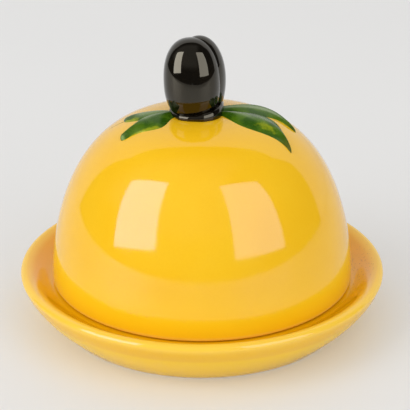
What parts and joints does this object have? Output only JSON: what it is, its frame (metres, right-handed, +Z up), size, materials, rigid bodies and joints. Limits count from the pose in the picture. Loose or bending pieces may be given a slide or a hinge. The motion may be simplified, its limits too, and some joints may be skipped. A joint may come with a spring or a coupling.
{
  "type": "olive dish with lid",
  "caption": "Round glazed earthenware dish with a hollow domed lid that lifts off by a knob shaped as dark olives on green relief leaves.",
  "frame": {"origin": "centre of the foot ring, on the surface that the dish stands on", "axes": "+Z up along the axis of the dish and the dome, -Y towards the side that the picture shows, +X to the right in the picture"},
  "size_m": [0.16, 0.16, 0.124],
  "materials": {
    "yellow_glaze": "glossy golden yellow glaze",
    "black_glaze": "glossy brown-black glaze",
    "green_glaze": "glossy leaf-green glaze, thin and yellow at the edges"
  },
  "bodies": {
    "dish": {"dish": "yellow_glaze"},
    "lid": {"lid_dome": "yellow_glaze", "knob_collar": "black_glaze", "olive_front": "black_glaze", "olive_rear": "black_glaze", "leaf_front_left": "green_glaze", "leaf_rear_left": "green_glaze", "leaf_front_right": "green_glaze", "leaf_rear_right": "green_glaze"}
  },
  "joints": [
    {"name": "lid_lift", "type": "slide", "parent": "dish", "child": "lid", "axis": [0, 0, 1], "range_m": [0, 0.12]}
  ]
}
